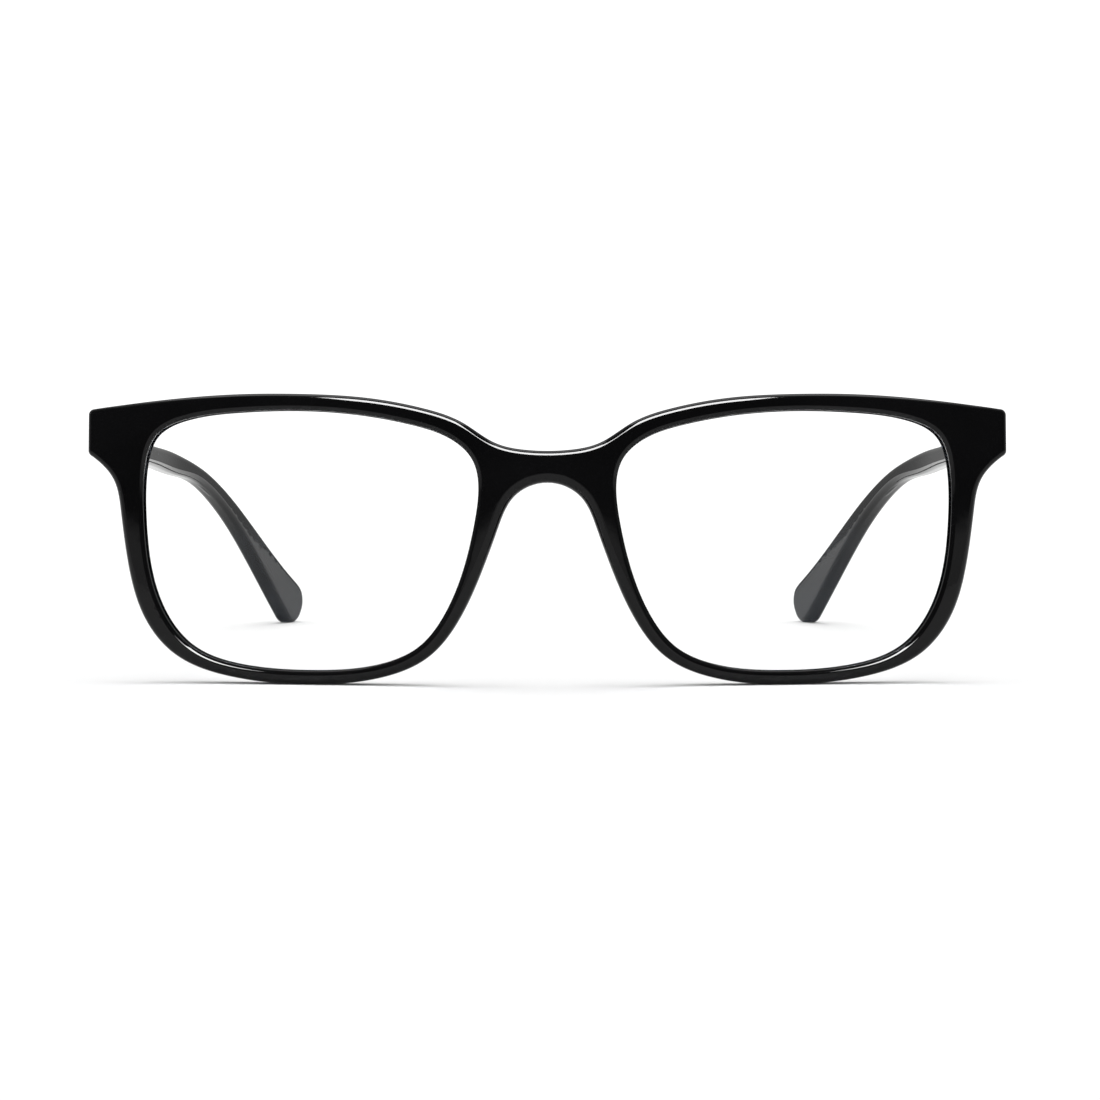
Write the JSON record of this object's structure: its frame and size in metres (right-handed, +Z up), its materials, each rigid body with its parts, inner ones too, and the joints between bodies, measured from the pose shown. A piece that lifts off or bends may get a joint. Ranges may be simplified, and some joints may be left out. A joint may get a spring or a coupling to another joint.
{
  "type": "glasses",
  "caption": "Full-rim glossy black plastic glasses with clear blue-light lenses and temples that fold inwards on barrel hinges.",
  "frame": {"origin": "centre of the open glasses' footprint, on the surface they rest on", "axes": "+Z up from the resting surface, +X towards the wearer's left, +Y from the lenses back towards the temple tips; the lenses face -Y"},
  "size_m": [0.1404, 0.1498, 0.0438],
  "materials": {
    "gloss_black": "polished",
    "pad_black": "polished",
    "lens": "clear, anti-reflection coated",
    "hinge_metal": "satin",
    "screw_metal": "polished",
    "wire_metal": "drawn"
  },
  "bodies": {
    "front": {"front_frame": "gloss_black", "lens_left": "lens", "lens_right": "lens", "nose_pad_left": "pad_black", "nose_pad_right": "pad_black", "front_hinge_left": "hinge_metal", "front_hinge_right": "hinge_metal", "hinge_screw_left": "screw_metal", "hinge_screw_right": "screw_metal"},
    "temple_left": {"temple_left": "gloss_black", "temple_hinge_left": "hinge_metal", "core_wire_left": "wire_metal"},
    "temple_right": {"temple_right": "gloss_black", "temple_hinge_right": "hinge_metal", "core_wire_right": "wire_metal"}
  },
  "joints": [
    {"name": "fold_left", "type": "hinge", "parent": "front", "child": "temple_left", "pos_m": [0.0652, -0.05716, 0.03783], "axis": [0, 0.0404, 0.9992], "range_deg": [0, 85]},
    {"name": "fold_right", "type": "hinge", "parent": "front", "child": "temple_right", "pos_m": [-0.0652, -0.05716, 0.03783], "axis": [0, -0.0404, -0.9992], "range_deg": [0, 75]}
  ]
}
